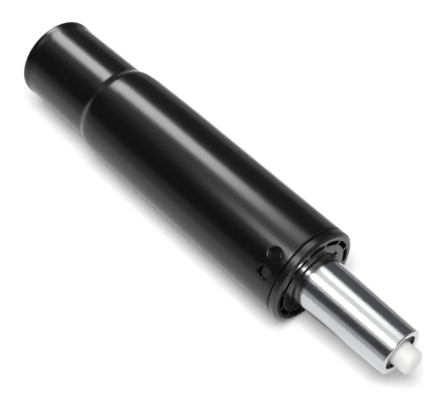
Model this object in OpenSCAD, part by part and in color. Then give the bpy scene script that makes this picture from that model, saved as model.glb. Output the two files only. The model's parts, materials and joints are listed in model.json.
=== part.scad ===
// Chair gas lift cylinder, shown fully lowered.
// The Z axis is the lift's own axis: the base taper stands on Z = 0 and the release button is on top.
// The +X axis passes midway between one pair of lock holes.

/* [Column tube] */
// Outside diameter of the column's main length
column_d = 54; // [50:0.5:58]
// Wall of the column
column_wall = 2; // [1.5:0.1:2.5]
// Length of the column from its lower end to its mouth
column_len = 203.5; // [190:0.5:240]
// Outside diameter of the base taper's cone, taken at its lower end
neck_end_d = 47.2; // [45:0.1:48.5]
// Length of the base taper up to the shoulder
neck_len = 51; // [46:0.5:60]
// Full angle of the base taper, in degrees
taper_angle = 1.4378; // [1.2:0.0001:1.7]
// Radius of the shoulder where it rolls into the main length
shoulder_round = 30; // [22:0.5:36]
// Radius of the fillet between the base taper and the shoulder
shoulder_fillet = 10; // [4:0.5:14]
// Length of the flare at the column's lower end
flare_len = 5; // [3:0.5:7]
// Radius of the flare's hollow side
flare_round = 20; // [16:1:40]
// Rounding of the column's edge at its lower end
neck_edge_round = 0.7; // [0.3:0.1:0.9]
// Bevel of the column's outer edge at its mouth
mouth_bevel = 0.5; // [0.2:0.1:0.7]

/* [Lock holes] */
// Diameter of the holes that lock the guide bush
lock_hole_d = 7; // [5:0.1:8]
// Distance of the holes from the column's mouth
lock_hole_drop = 7.6; // [6:0.1:14]
// Angle between the two holes of a pair
lock_hole_spread = 23; // [20:0.5:40]
// Number of pairs round the column
lock_pairs = 2; // [1:1:4]
// Gap between a lock peg and its hole
peg_gap = 0.3; // [0.1:0.1:0.5]
// How far a lock peg stays below the column's surface
peg_recess = 1.2; // [0.8:0.1:1.8]

/* [Guide bush] */
// Length of the bush inside the column
bush_len = 72; // [55:1:85]
// Thickness of the bush's flange on the column's mouth
flange_t = 5; // [4:0.1:8]
// Rounding of the flange's outer edge
flange_round = 2; // [1:0.1:2.5]
// Depth of the groove between the flange and the column's mouth
seam_groove = 0.7; // [0.4:0.1:1]
// Height of that groove
seam_gap = 0.6; // [0.3:0.1:1]
// Number of cored slots in the flange's face
slot_count = 12; // [6:1:16]
// Wall of the bush outside its slots
slot_wall = 1.75; // [1.2:0.05:3]
// Width of a slot
slot_w = 2.6; // [1.5:0.1:3.5]
// Width of the webs between slots
slot_web = 1.5; // [1.2:0.1:4]
// Depth of a slot
slot_depth = 40; // [10:1:50]
// Angle of the first slot's middle from the +X axis
slot_turn = 11.4; // [0:0.1:30]
// Depth of the bevel round the bore on the flange's face
bore_bevel = 1.1; // [0.8:0.1:2]
// Number of notches in the edge of that bevel
bevel_notches = 2; // [0:1:4]
// Width of a notch
bevel_notch_w = 3.4; // [2:0.1:5]
// Radial depth of a notch behind the bevel's edge
bevel_notch_cut = 1.4; // [0.8:0.1:2]
// Angle of the first notch from the +X axis
bevel_notch_turn = 71.4; // [0:0.1:180]
// Radial gap between the bush and the column
bush_fit = 0.05; // [0.02:0.01:0.1]

/* [Pressure tube] */
// Outside diameter of the pressure tube
tube_d = 29; // [28:0.1:30]
// Wall of the pressure tube
tube_wall = 2.5; // [2:0.1:2.8]
// Height of the pressure tube's top above the flange's face when lowered
tube_rise = 57.5; // [45:0.5:80]
// Height of the top taper's lower end above the flange's face when lowered
cone_rise = 5; // [3:0.5:12]
// Full angle of the top taper, in degrees
top_taper_angle = 2.8757; // [2:0.0001:3.2]
// Radial width of the rolled top rim
rim_w = 3.25; // [3.1:0.05:3.65]
// Thickness of the rolled top rim
rim_t = 2.6; // [2:0.1:4]
// Rounding of the rim's outer edge
rim_round = 1.7; // [0.8:0.1:1.9]
// Rounding of the rim's inner edge
lip_round = 1.3; // [0.5:0.1:1.4]
// Radial gap between the rod and the rolled lower end
foot_gap = 2.5; // [1:0.1:4]
// Thickness of the rolled lower end
foot_lip_t = 1.8; // [1.2:0.1:2.5]
// Rounding of the lower end's outer edge
foot_round = 1.5; // [0.5:0.1:1.7]
// Radial running gap between the pressure tube and the bush
tube_run = 0.05; // [0.02:0.01:0.1]

/* [Stroke] */
// Travel of the pressure tube
stroke = 100; // [80:1:110]
// Travel of the release button
button_travel = 4; // [2:0.5:6]
// Gap left at the end stops
stop_gap = 0.4; // [0.3:0.1:1]

/* [Rod] */
// Diameter of the piston rod
rod_d = 10; // [8:0.1:11]
// Radial step from the rod to its lower journal
journal_step = 1; // [0.5:0.1:1.5]
// Height of the rod's lower end above the column's lower end
rod_recess = 6; // [2:0.5:12]
// Length of the journal below the clip
rod_tail = 2.2; // [1.5:0.1:4]
// Depth of the clip's groove in the journal
groove_cut = 1; // [0.6:0.1:1.4]
// Thickness of the retaining clip
clip_t = 1.2; // [0.8:0.1:2]
// Radial width of the retaining clip
clip_w = 4.5; // [3:0.1:6]
// How much narrower the clip's mouth is than its groove
clip_grip = 1; // [0.5:0.1:2]
// Radial width of the washer above the clip
clip_washer_w = 5; // [4:0.1:8]
// Thickness of that washer
clip_washer_t = 1.5; // [1:0.1:2.5]
// Radial gap of the rod in the base plate, the rod guide and the rod seal
rod_run = 0.04; // [0.02:0.01:0.1]
// Axial play of the rod in the base plate
axial_play = 0.15; // [0.1:0.05:0.4]

/* [Base plate and thrust bearing] */
// Thickness of the base plate
plate_t = 4; // [3:0.1:6]
// Radial gap between the base plate and the base taper
plate_fit = 0.05; // [0.02:0.01:0.1]
// Radial width of the lower race
race_w = 8.6; // [7.5:0.1:10]
// Thickness of a race
race_t = 2.4; // [2:0.1:4]
// Radial gap of the lower race round the journal
race_gap = 0.4; // [0.3:0.1:1]
// Diameter of a bearing ball
ball_d = 4; // [3:0.1:4.5]
// Number of bearing balls
ball_count = 10; // [6:1:11]
// Depth of the balls' track in a race
track_depth = 0.5; // [0.3:0.05:0.7]
// Gap round a ball in its tracks
ball_play = 0.03; // [0.02:0.01:0.05]
// Gap between the ball cage and a race
cage_gap = 0.5; // [0.3:0.05:0.8]
// How far the cage stays inside the edges of the races
cage_edge = 1.1; // [0.8:0.1:1.6]
// Gap round a ball in its cage pocket
pocket_gap = 0.08; // [0.05:0.01:0.15]

/* [Buffer] */
// Radial thickness of the rubber buffer
buffer_w = 6; // [4:0.1:8]
// Length of the rubber buffer
buffer_len = 10; // [6:0.5:20]
// Radial depth of the buffer's waist
buffer_waist = 2; // [1:0.1:3]

/* [Rod guide and seal] */
// Radial gap of the packing pieces in the pressure tube
pack_fit = 0.05; // [0.02:0.01:0.1]
// Thickness of the seal's retaining washer
retainer_t = 2; // [1:0.1:3]
// Radial gap of the retaining washer round the rod
retainer_gap = 0.4; // [0.3:0.1:0.8]
// Length of the rod seal
seal_len = 6; // [4:0.1:8]
// Length of the rod guide below the inner tube
guide_len = 12; // [9:0.5:18]
// Length of the spigots that centre the inner tube
spigot_len = 4; // [3:0.1:6]
// Number of gas notches in the rod guide
notch_count = 4; // [2:1:6]
// Width of a gas notch
notch_w = 3; // [2:0.1:4]
// Thickness of the round seals
ring_t = 2.4; // [1.8:0.1:2.6]

/* [Inner tube and piston] */
// Radial gas gap between the inner tube and the pressure tube
gas_gap = 2; // [1:0.1:2.5]
// Wall of the inner tube
inner_wall = 0.8; // [0.6:0.1:1.2]
// Length of the piston
piston_len = 12; // [8:0.5:16]
// Height of the piston ring
piston_ring_h = 3; // [2:0.1:4]
// Depth of the piston ring
piston_ring_w = 1.6; // [1.2:0.1:2]
// Radial running gap of the piston ring in the inner tube
piston_run = 0.03; // [0.02:0.01:0.1]
// Radial gap of the piston in the inner tube
piston_gap = 0.3; // [0.3:0.05:0.6]
// Radial step from the rod to its spigot through the piston
rod_shoulder = 2; // [1.5:0.1:2.5]
// Thickness of the stop washer under the piston
stop_washer_t = 1.5; // [1:0.1:2.5]
// Wall of the piston nut at its flats
nut_wall = 2; // [1.5:0.1:3]
// Thickness of the piston nut
nut_t = 4; // [3:0.1:6]
// Length of the rod's spigot above the nut
rod_tip = 1; // [0.5:0.1:2]

/* [Valve and button] */
// Length of the valve body that fills the pressure tube
valve_len = 22; // [18:0.5:28]
// Length of the valve body's gas neck
valve_neck_len = 6; // [4.5:0.5:8]
// Diameter of the gas ports in the valve body
port_d = 2.4; // [1.5:0.1:3]
// Diameter of the valve pin
pin_d = 5; // [4:0.1:5.5]
// Radial running gap of the valve pin
pin_run = 0.05; // [0.02:0.01:0.1]
// Depth of the waist in the valve pin
pin_waist = 0.8; // [0.4:0.1:1.2]
// Radial width of the valve pin's head
pin_head_w = 2; // [1:0.1:3]
// Length of the valve pin's head
pin_head_len = 4; // [3:0.1:6]
// Depth of the pin seals round the valve pin
pin_seal_w = 1.7; // [1.2:0.1:2]
// Diameter of the release button
button_d = 13.1; // [11:0.1:13.8]
// Height of the button above the rim
button_rise = 9; // [7:0.1:12]
// Rounding of the button's tip
button_round = 3; // [1:0.1:5]
// Radial width of the flange that keeps the button in
button_flange_w = 1.4; // [1:0.05:2]
// Thickness of that flange
button_flange_t = 2.2; // [1.5:0.1:3]
// Depth of the valve pin's seat in the button
button_seat = 7; // [4:0.1:10]
// Radial gap of the button in the end plug
button_gap = 0.3; // [0.3:0.05:0.5]
// Wall of the end plug's collar round the button
collar_wall = 1.6; // [1:0.1:1.7]
// Height of that collar inside the rim
collar_h = 1.2; // [0.5:0.1:1.8]
// Length of the end plug above the button's flange
plug_top = 6; // [4:0.5:10]

/* [Hidden] */
$fn = 96;

// Overshoot of cutting shapes
over = 1;
half_taper = taper_angle / 2;
taper_slope = tan(half_taper);
top_taper_slope = tan(top_taper_angle / 2);

// Radii
column_r = column_d / 2;
column_bore_r = column_r - column_wall;
tube_r = tube_d / 2;
tube_bore_r = tube_r - tube_wall;
pack_r = tube_bore_r - pack_fit;
inner_r = tube_bore_r - gas_gap;
inner_bore_r = inner_r - inner_wall;
spigot_r = inner_bore_r - pack_fit;
rod_r = rod_d / 2;
journal_r = rod_r - journal_step;
groove_r = journal_r - groove_cut;
rod_spigot_r = rod_r - rod_shoulder;
rod_bore_r = rod_r + rod_run;
pin_r = pin_d / 2;
pin_bore_r = pin_r + pin_run;
ball_r = ball_d / 2;
track_r = ball_r + ball_play;
race_bore_r = journal_r + race_gap;
race_r = race_bore_r + race_w;
ball_ring_r = race_bore_r + race_w / 2;
button_r = button_d / 2;
button_flange_r = button_r + button_flange_w;
bush_r = column_bore_r - bush_fit;
bush_bore_r = tube_r + tube_run;
slot_r = bush_r - slot_wall;

// Heights, from the column's lower end upwards
clip_z = rod_recess + rod_tail;
clip_washer_z = clip_z + clip_t;
plate_z = clip_washer_z + clip_washer_t + axial_play;
lower_race_z = plate_z + plate_t;
lower_track_z = lower_race_z + race_t;
ball_z = lower_track_z - track_depth + track_r;
upper_race_z = 2 * ball_z - lower_track_z;
buffer_z = upper_race_z + race_t;
foot_z = buffer_z + buffer_len + stop_gap;
retainer_z = foot_z + foot_lip_t;
seal_z = retainer_z + retainer_t;
guide_z = seal_z + seal_len;
inner_z = guide_z + guide_len;
stop_z = inner_z + spigot_len + stroke + stop_gap;
piston_z = stop_z + stop_washer_t;
nut_z = piston_z + piston_len;
rod_top = nut_z + nut_t + rod_tip;
face_z = column_len + flange_t;
cone_z = face_z + cone_rise;
tube_top = face_z + tube_rise;
top_r = tube_r - (tube_top - cone_z) * top_taper_slope;
plug_ledge_h = button_flange_t + button_travel + 2 * stop_gap;
plug_end = tube_top - rim_t;
plug_z = plug_end - plug_top - plug_ledge_h;
valve_z = plug_z - valve_len;
neck_z = valve_z - valve_neck_len;
spigot_z = neck_z - spigot_len;
port_z = neck_z + valve_neck_len / 2;
button_z = plug_z + plug_ledge_h - stop_gap - button_flange_t;
button_top = tube_top + button_rise;
pin_head_z = spigot_z - stop_gap - pin_head_len;
lower_seal_z = spigot_z + (spigot_len - ring_t) / 2;
upper_seal_z = plug_z - 2 * ring_t;
lock_hole_z = column_len - lock_hole_drop;

// Centre of the shoulder's fillet and of its round, as [radius, height]
fillet_at = [
    neck_r(neck_len) + shoulder_fillet * cos(half_taper),
    neck_len - shoulder_fillet * sin(half_taper)
];
round_r = column_r - shoulder_round;
arc_reach = shoulder_round + shoulder_fillet;
round_at = [round_r, fillet_at[1] + sqrt(pow(arc_reach, 2) - pow(fillet_at[0] - round_r, 2))];
arc_way = (fillet_at - round_at) / arc_reach;

// Centre of the flare's hollow side and of the end's rounding, as [radius, height]
flare_at = [
    neck_r(flare_len) + flare_round * cos(half_taper),
    flare_len - flare_round * sin(half_taper)
];
flare_end_r = flare_at[0] - sqrt(pow(flare_round, 2) - pow(flare_at[1], 2));
edge_reach = flare_round + neck_edge_round;
edge_at = [
    flare_at[0] - sqrt(pow(edge_reach, 2) - pow(flare_at[1] - neck_edge_round, 2)),
    neck_edge_round
];

// Outside radius of the base taper at a height
function neck_r(height) = neck_end_d / 2 + height * taper_slope;

// Ring with a square section that stands on a height
module ring(outer_r, bore_r, from, to) {
    translate([0, 0, from])
        difference() {
            cylinder(r = outer_r, h = to - from);
            translate([0, 0, -over]) cylinder(r = bore_r, h = to - from + 2 * over);
        }
}

// Ring with a round section
module round_ring(middle_r, section_r, height) {
    translate([0, 0, height]) rotate_extrude() translate([middle_r, 0]) circle(r = section_r);
}

// What a rounded edge takes off a section's corner; the ways point out of the solid
module corner_cut(corner, radius, radial_way, height_way) {
    translate(corner - radius * [radial_way, height_way])
        difference() {
            polygon([
                [0, 0],
                [radial_way * (radius + over), 0],
                radius * [radial_way, height_way] + over * [radial_way, height_way],
                [0, height_way * (radius + over)]
            ]);
            circle(r = radius);
        }
}

// Section of the column, drawn in by the inset and longer at both ends by the reach
module column_section(inset, reach) {
    bend = shoulder_fillet + inset;
    roll = shoulder_round - inset;
    wall_r = column_r - inset;
    foot = fillet_at - bend * [cos(half_taper), -sin(half_taper)];
    meet = round_at + roll * arc_way;
    end_r = neck_r(-reach) - inset / cos(half_taper);
    polygon([[0, -reach], [end_r, -reach], foot, [0, foot[1]]]);
    difference() {
        polygon([[0, foot[1]], foot, meet, [0, meet[1]]]);
        translate(fillet_at) circle(r = bend);
    }
    polygon([[0, meet[1]], meet, [wall_r, round_at[1]], [0, round_at[1]]]);
    intersection() {
        translate(round_at) circle(r = roll);
        translate([0, meet[1]]) square([column_r, round_at[1] - meet[1]]);
    }
    translate([0, round_at[1]]) square([wall_r, column_len + reach - round_at[1]]);
}

// Puts its children at each lock hole, pointing outwards along X
module at_lock_holes() {
    for (pair = [0 : lock_pairs - 1], side = [-0.5, 0.5])
        rotate([0, 0, pair * 360 / lock_pairs + side * lock_hole_spread])
            translate([0, 0, lock_hole_z])
                children();
}

// Section that the flare adds at the column's lower end
module flare_section() {
    root = [column_wall / 2, 0];
    difference() {
        polygon([
            [neck_r(0), 0] - root,
            [flare_end_r, 0],
            [neck_r(flare_len), flare_len],
            [neck_r(flare_len), flare_len] - root
        ]);
        translate(flare_at) circle(r = flare_round);
    }
}

// What the rounding takes off the flare's end
module flare_edge_cut() {
    difference() {
        polygon([
            edge_at,
            [edge_at[0], -over],
            [edge_at[0] + column_wall, -over],
            edge_at + (neck_edge_round + over) * (flare_at - edge_at) / edge_reach
        ]);
        translate(edge_at) circle(r = neck_edge_round);
    }
}

module column_tube() {
    color("#1b1b1d")
        difference() {
            rotate_extrude()
                difference() {
                    union() {
                        column_section(0, 0);
                        flare_section();
                    }
                    column_section(column_wall, over);
                    flare_edge_cut();
                    polygon([
                        [column_r - mouth_bevel, column_len],
                        [column_r + over, column_len + over],
                        [column_r + over, column_len - mouth_bevel],
                        [column_r, column_len - mouth_bevel]
                    ]);
                }
            at_lock_holes()
                translate([column_bore_r - column_wall, 0, 0])
                    rotate([0, 90, 0]) cylinder(d = lock_hole_d, h = 3 * column_wall);
        }
}

module base_plate() {
    plate_low_r = neck_r(plate_z) - column_wall / cos(half_taper) - plate_fit;
    plate_high_r = neck_r(plate_z + plate_t) - column_wall / cos(half_taper) - plate_fit;
    color("#55575b")
        translate([0, 0, plate_z])
            difference() {
                cylinder(r1 = plate_low_r, r2 = plate_high_r, h = plate_t);
                translate([0, 0, -over]) cylinder(r = journal_r + rod_run, h = plate_t + 2 * over);
            }
}

// One cored slot of the guide bush, bounded by straight webs
module bush_slot() {
    half_pitch = 180 / slot_count;
    edge = slot_web / 2 / sin(half_pitch);
    linear_extrude(slot_depth + over)
        intersection() {
            difference() {
                circle(r = slot_r);
                circle(r = slot_r - slot_w);
            }
            translate([edge, 0])
                polygon([
                    [0, 0],
                    column_r * [1, -tan(half_pitch)],
                    column_r * [1, tan(half_pitch)]
                ]);
        }
}

module guide_bush() {
    peg_top = column_r - peg_recess;
    bevel_r = bush_bore_r + bore_bevel;
    color("#161617") {
        difference() {
            rotate_extrude()
                difference() {
                    union() {
                        translate([bush_bore_r, column_len - bush_len])
                            square([bush_r - bush_bore_r, bush_len]);
                        translate([bush_bore_r, column_len])
                            square([column_r - seam_groove - bush_bore_r, seam_gap]);
                        translate([bush_bore_r, column_len + seam_gap])
                            square([column_r - bush_bore_r, flange_t - seam_gap]);
                    }
                    corner_cut([column_r, face_z], flange_round, 1, 1);
                    polygon([
                        [bush_bore_r - over, face_z + over],
                        [bush_bore_r - over, face_z - bore_bevel],
                        [bush_bore_r, face_z - bore_bevel],
                        [bevel_r, face_z],
                        [bevel_r, face_z + over]
                    ]);
                }
            for (slot = [0 : slot_count - 1])
                rotate([0, 0, slot_turn + slot * 360 / slot_count])
                    translate([0, 0, face_z - slot_depth])
                        bush_slot();
            for (notch = [0 : 1 : bevel_notches - 1])
                rotate([0, 0, bevel_notch_turn + notch * 360 / bevel_notches])
                    translate([0, -bevel_notch_w / 2, face_z - bore_bevel / 2])
                        cube([bevel_r + bevel_notch_cut, bevel_notch_w, bore_bevel]);
        }
        at_lock_holes()
            translate([bush_r - column_wall / 2, 0, 0])
                rotate([0, 90, 0])
                    cylinder(d = lock_hole_d - 2 * peg_gap, h = peg_top - bush_r + column_wall / 2);
    }
}

// One race of the thrust bearing with the balls' track in its face
module race(from, bore_r) {
    difference() {
        ring(race_r, bore_r, from, from + race_t);
        round_ring(ball_ring_r, track_r, ball_z);
    }
}

module lower_race() {
    color("#b9bcc0") race(lower_race_z, race_bore_r);
}

module upper_race() {
    color("#b9bcc0") race(upper_race_z, journal_r);
}

// Puts its children at the middle of each bearing ball
module at_balls() {
    for (ball = [0 : ball_count - 1])
        rotate([0, 0, ball * 360 / ball_count])
            translate([ball_ring_r, 0, ball_z])
                children();
}

module ball_cage() {
    color("#c9a45c")
        difference() {
            ring(race_r - cage_edge, race_bore_r + cage_edge, lower_track_z + cage_gap, upper_race_z - cage_gap);
            at_balls() cylinder(r = ball_r + pocket_gap, h = ball_d, center = true);
        }
}

module bearing_balls() {
    color("#d4d6d9") at_balls() sphere(r = ball_r);
}

module rubber_buffer() {
    waist_r = (buffer_len - buffer_waist) / 2;
    waist_at = [rod_r + buffer_w + waist_r - buffer_waist, buffer_z + buffer_len / 2];
    color("#222222")
        rotate_extrude()
            difference() {
                translate([rod_r, buffer_z]) square([buffer_w, buffer_len]);
                translate(waist_at) circle(r = waist_r);
            }
}

module clip_washer() {
    washer_r = journal_r + clip_washer_w;
    color("#9a9da2") ring(washer_r, journal_r, clip_washer_z, clip_washer_z + clip_washer_t);
}

module retaining_clip() {
    clip_r = groove_r + clip_w;
    mouth_w = 2 * groove_r - clip_grip;
    color("#4a4c50")
        difference() {
            ring(clip_r, groove_r, clip_z, clip_z + clip_t);
            translate([0, -mouth_w / 2, clip_z - over]) cube([clip_r + over, mouth_w, clip_t + 2 * over]);
        }
}

module piston_rod() {
    color("#c3c6ca")
        difference() {
            union() {
                translate([0, 0, rod_recess]) cylinder(r = journal_r, h = buffer_z - rod_recess);
                translate([0, 0, buffer_z]) cylinder(r = rod_r, h = stop_z - buffer_z);
                translate([0, 0, stop_z]) cylinder(r = rod_spigot_r, h = rod_top - stop_z);
            }
            ring(journal_r + over, groove_r, clip_z, clip_z + clip_t);
        }
}

module stop_washer() {
    color("#9a9da2") ring(inner_bore_r - piston_gap, rod_spigot_r, stop_z, piston_z);
}

module piston() {
    groove_z = piston_z + (piston_len - piston_ring_h) / 2;
    color("#8f9398")
        difference() {
            ring(inner_bore_r - piston_gap, rod_spigot_r, piston_z, nut_z);
            ring(inner_bore_r, inner_bore_r - piston_run - piston_ring_w, groove_z, groove_z + piston_ring_h);
        }
}

module piston_ring() {
    groove_z = piston_z + (piston_len - piston_ring_h) / 2;
    ring_r = inner_bore_r - piston_run;
    color("#e6e2d6") ring(ring_r, ring_r - piston_ring_w, groove_z, groove_z + piston_ring_h);
}

module piston_nut() {
    color("#a3a6ab")
        translate([0, 0, nut_z])
            difference() {
                cylinder(r = (rod_spigot_r + nut_wall) / cos(30), h = nut_t, $fn = 6);
                translate([0, 0, -over]) cylinder(r = rod_spigot_r, h = nut_t + 2 * over);
            }
}

module pressure_tube() {
    opening_r = top_r - rim_w;
    foot_r = rod_r + foot_gap;
    color("#d7d9dc")
        rotate_extrude()
            difference() {
                polygon([
                    [foot_r, foot_z],
                    [tube_r, foot_z],
                    [tube_r, cone_z],
                    [top_r, tube_top],
                    [opening_r, tube_top],
                    [opening_r, plug_end],
                    [tube_bore_r, plug_end],
                    [tube_bore_r, retainer_z],
                    [foot_r, retainer_z]
                ]);
                corner_cut([tube_r, foot_z], foot_round, 1, -1);
                corner_cut([top_r, tube_top], rim_round, 1, 1);
                corner_cut([opening_r, tube_top], lip_round, -1, 1);
            }
}

module seal_retainer() {
    color("#9a9da2") ring(pack_r, rod_r + retainer_gap, retainer_z, seal_z);
}

module rod_seal() {
    color("#2b2b2b") ring(pack_r, rod_bore_r, seal_z, guide_z);
}

module rod_guide() {
    ring_z = guide_z + guide_len / 2;
    color("#b58b4a")
        difference() {
            union() {
                ring(pack_r, rod_bore_r, guide_z, inner_z);
                ring(spigot_r, rod_bore_r, inner_z, inner_z + spigot_len);
            }
            round_ring(tube_bore_r - ring_t / 2, ring_t / 2, ring_z);
            for (notch = [0 : notch_count - 1])
                rotate([0, 0, notch * 360 / notch_count])
                    translate([0, -notch_w / 2, inner_z - notch_w / 2])
                        cube([tube_r, notch_w, spigot_len + notch_w]);
        }
}

module guide_seal_ring() {
    color("#2b2b2b") round_ring(tube_bore_r - ring_t / 2, ring_t / 2, guide_z + guide_len / 2);
}

module inner_tube() {
    color("#aeb2b7") ring(inner_r, inner_bore_r, inner_z, neck_z);
}

module valve_body() {
    color("#caa75e")
        difference() {
            union() {
                ring(spigot_r, pin_bore_r, spigot_z, neck_z);
                ring(inner_r, pin_bore_r, neck_z, valve_z);
                ring(pack_r, pin_bore_r, valve_z, plug_z);
            }
            for (turn = [0, 90])
                rotate([0, 0, turn])
                    translate([0, 0, port_z])
                        rotate([0, 90, 0]) cylinder(d = port_d, h = tube_d, center = true);
            round_ring(tube_bore_r - ring_t / 2, ring_t / 2, valve_z + valve_len / 2);
            round_ring(inner_bore_r - ring_t / 2, ring_t / 2, spigot_z + spigot_len / 2);
            ring(pin_bore_r + pin_seal_w, pin_bore_r - over, lower_seal_z, lower_seal_z + ring_t);
            ring(pin_bore_r + pin_seal_w, pin_bore_r - over, upper_seal_z, upper_seal_z + ring_t);
        }
}

module valve_seal_rings() {
    color("#2b2b2b") {
        round_ring(tube_bore_r - ring_t / 2, ring_t / 2, valve_z + valve_len / 2);
        round_ring(inner_bore_r - ring_t / 2, ring_t / 2, spigot_z + spigot_len / 2);
    }
}

module pin_seal_rings() {
    color("#2b2b2b")
        for (seal_at = [lower_seal_z, upper_seal_z])
            ring(pin_bore_r + pin_seal_w, pin_bore_r, seal_at, seal_at + ring_t);
}

module end_plug() {
    guide_r = button_r + button_gap;
    color("#3c3d40")
        difference() {
            union() {
                ring(pack_r, guide_r, plug_z, plug_end);
                ring(guide_r + collar_wall, guide_r, plug_end, plug_end + collar_h);
            }
            translate([0, 0, plug_z - over])
                cylinder(r = button_flange_r + button_gap, h = plug_ledge_h + over);
        }
}

module valve_pin() {
    pin_head_r = pin_r + pin_head_w;
    waist_top = port_z + port_d / 2;
    color("#c3c6ca")
        difference() {
            union() {
                translate([0, 0, pin_head_z]) cylinder(r = pin_head_r, h = pin_head_len / 2);
                translate([0, 0, pin_head_z + pin_head_len / 2])
                    cylinder(r1 = pin_head_r, r2 = pin_r, h = pin_head_len / 2);
                translate([0, 0, pin_head_z]) cylinder(r = pin_r, h = button_z + button_seat - pin_head_z);
            }
            ring(pin_r + over, pin_r - pin_waist, neck_z, waist_top);
        }
}

module release_button() {
    color("#eeeeec")
        rotate_extrude()
            difference() {
                union() {
                    translate([0, button_z]) square([button_flange_r, button_flange_t]);
                    translate([0, button_z]) square([button_r, button_top - button_z]);
                }
                translate([-over, button_z - over]) square([over + pin_r, button_seat + over]);
                corner_cut([button_r, button_top], button_round, 1, 1);
            }
}

column_tube();
base_plate();
guide_bush();
lower_race();
ball_cage();
bearing_balls();
upper_race();
rubber_buffer();
clip_washer();
retaining_clip();
piston_rod();
stop_washer();
piston();
piston_ring();
piston_nut();
pressure_tube();
seal_retainer();
rod_seal();
rod_guide();
guide_seal_ring();
inner_tube();
valve_body();
valve_seal_rings();
pin_seal_rings();
end_plug();
valve_pin();
release_button();
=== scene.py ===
"""Looks, stage and camera of a chair gas lift cylinder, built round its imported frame.

The part keeps its own frame: Z is the lift's axis, the base taper's lower end is at Z = 0 and the lift is fully
lowered. In the picture the lift lies on a table, so the table is an upright sheet here that touches the column's side.
Sizes of pieces are in millimetres, and meshes, lamps and the camera are in metres.
"""

import json
import logging
from dataclasses import dataclass, field
from enum import Enum
from math import acos, asin, atan2, cos, degrees, dist, hypot, pi, radians, sin, tan
from typing import Any

import bmesh
import bpy
from bpy.types import Material, Mesh, Node, NodeSocket, NodeTree, Object
from mathutils import Matrix, Vector


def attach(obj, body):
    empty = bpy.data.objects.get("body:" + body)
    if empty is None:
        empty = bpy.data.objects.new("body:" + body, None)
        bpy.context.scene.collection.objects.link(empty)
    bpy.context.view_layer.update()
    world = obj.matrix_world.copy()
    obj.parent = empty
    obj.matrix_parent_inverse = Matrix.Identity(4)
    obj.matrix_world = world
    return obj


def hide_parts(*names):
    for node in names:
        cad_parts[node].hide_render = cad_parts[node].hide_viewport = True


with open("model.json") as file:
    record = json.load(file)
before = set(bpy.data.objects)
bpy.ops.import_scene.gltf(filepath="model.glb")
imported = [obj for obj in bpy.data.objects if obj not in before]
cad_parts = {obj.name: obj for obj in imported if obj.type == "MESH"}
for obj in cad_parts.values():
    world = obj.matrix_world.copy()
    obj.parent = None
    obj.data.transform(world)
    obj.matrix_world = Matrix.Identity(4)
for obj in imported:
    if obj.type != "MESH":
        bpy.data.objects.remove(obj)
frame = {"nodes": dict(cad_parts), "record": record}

LOG = logging.getLogger("gas_lift")
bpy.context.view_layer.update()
MM = 0.001
UP = Vector((0, 0, 1))
ROUND_STEPS = 288
DRILL_STEPS = 72
SHARP_ANGLE = radians(32)
# Azimuth in degrees of the direction out of the table.
TABLE_AZIMUTH = -47.1
# A point this near the axis, in millimetres, is on it, and points this near each other, in metres, are joined.
ON_AXIS = 1e-6
JOIN_DISTANCE = 2e-6
# Distance from a span's ends of the points that hold its shading, and the shortest span that gets them.
HOLD = 0.25
LONG_SPAN = 4 * HOLD

Point = tuple[float, float]
Colour = tuple[float, float, float]


class Lay(Enum):
    """Direction of the fine tool lines on a finish."""

    NONE = "none"
    RINGS = "Rings"
    LENGTHWISE = "Lengthwise"


class Shows(Enum):
    """What a lamp takes part in."""

    REFLECTIONS = "reflections"
    SHADING = "shading"


class Graph:
    """A node tree with short calls that add and join nodes."""

    def __init__(self, tree: NodeTree) -> None:
        """Keeps a tree, without the nodes that it starts with."""
        self.tree = tree
        tree.nodes.clear()

    def add(self, kind: str, inputs: dict[Any, Any] | None = None, **settings: Any) -> Node:
        """Adds a node.

        Args:
            kind: Blender's type name of the node.
            inputs: Values, sockets to join, or nodes whose first output is joined, by input name or number.
            settings: Properties set on the node itself.

        Returns:
            The new node.
        """
        node = self.tree.nodes.new(kind)
        for name, value in settings.items():
            setattr(node, name, value)
        for name, value in (inputs or {}).items():
            if isinstance(value, Node):
                value = value.outputs[0]
            if isinstance(value, NodeSocket):
                self.tree.links.new(value, node.inputs[name])
            else:
                node.inputs[name].default_value = value
        return node

    def math(self, operation: str, first: Any, second: Any = 0.0) -> NodeSocket:
        """Adds a math node and returns its result."""
        return self.add("ShaderNodeMath", {0: first, 1: second}, operation=operation).outputs[0]

    def remap(self, value: NodeSocket, source: Point, target: Point, kind: str = "LINEAR") -> NodeSocket:
        """Adds a node that maps a value from one range to another and returns its result."""
        inputs = dict(enumerate((value, *source, *target)))
        return self.add("ShaderNodeMapRange", inputs, interpolation_type=kind).outputs[0]

    def mix(self, share: NodeSocket, first: Any, second: Any) -> NodeSocket:
        """Adds a node that mixes two colours and returns the result."""
        return self.add("ShaderNodeMix", {0: share, 6: first, 7: second}, data_type="RGBA").outputs[2]

    def seen(self, path: Any) -> NodeSocket:
        """Returns 1 for the rays of a light path that show things and 0 for those that only light."""
        mirrored = self.math("MAXIMUM", path["Is Glossy Ray"], path["Is Transmission Ray"])
        return self.math("MAXIMUM", path["Is Camera Ray"], mirrored)

    def port(self, name: str, way: str, kind: str) -> str:
        """Adds a socket to the tree's interface.

        Args:
            name: Name of the socket.
            way: INPUT or OUTPUT.
            kind: Short name of the socket's type, such as Float.

        Returns:
            The socket's identifier.
        """
        return self.tree.interface.new_socket(name, in_out=way, socket_type="NodeSocket" + kind).identifier


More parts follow.
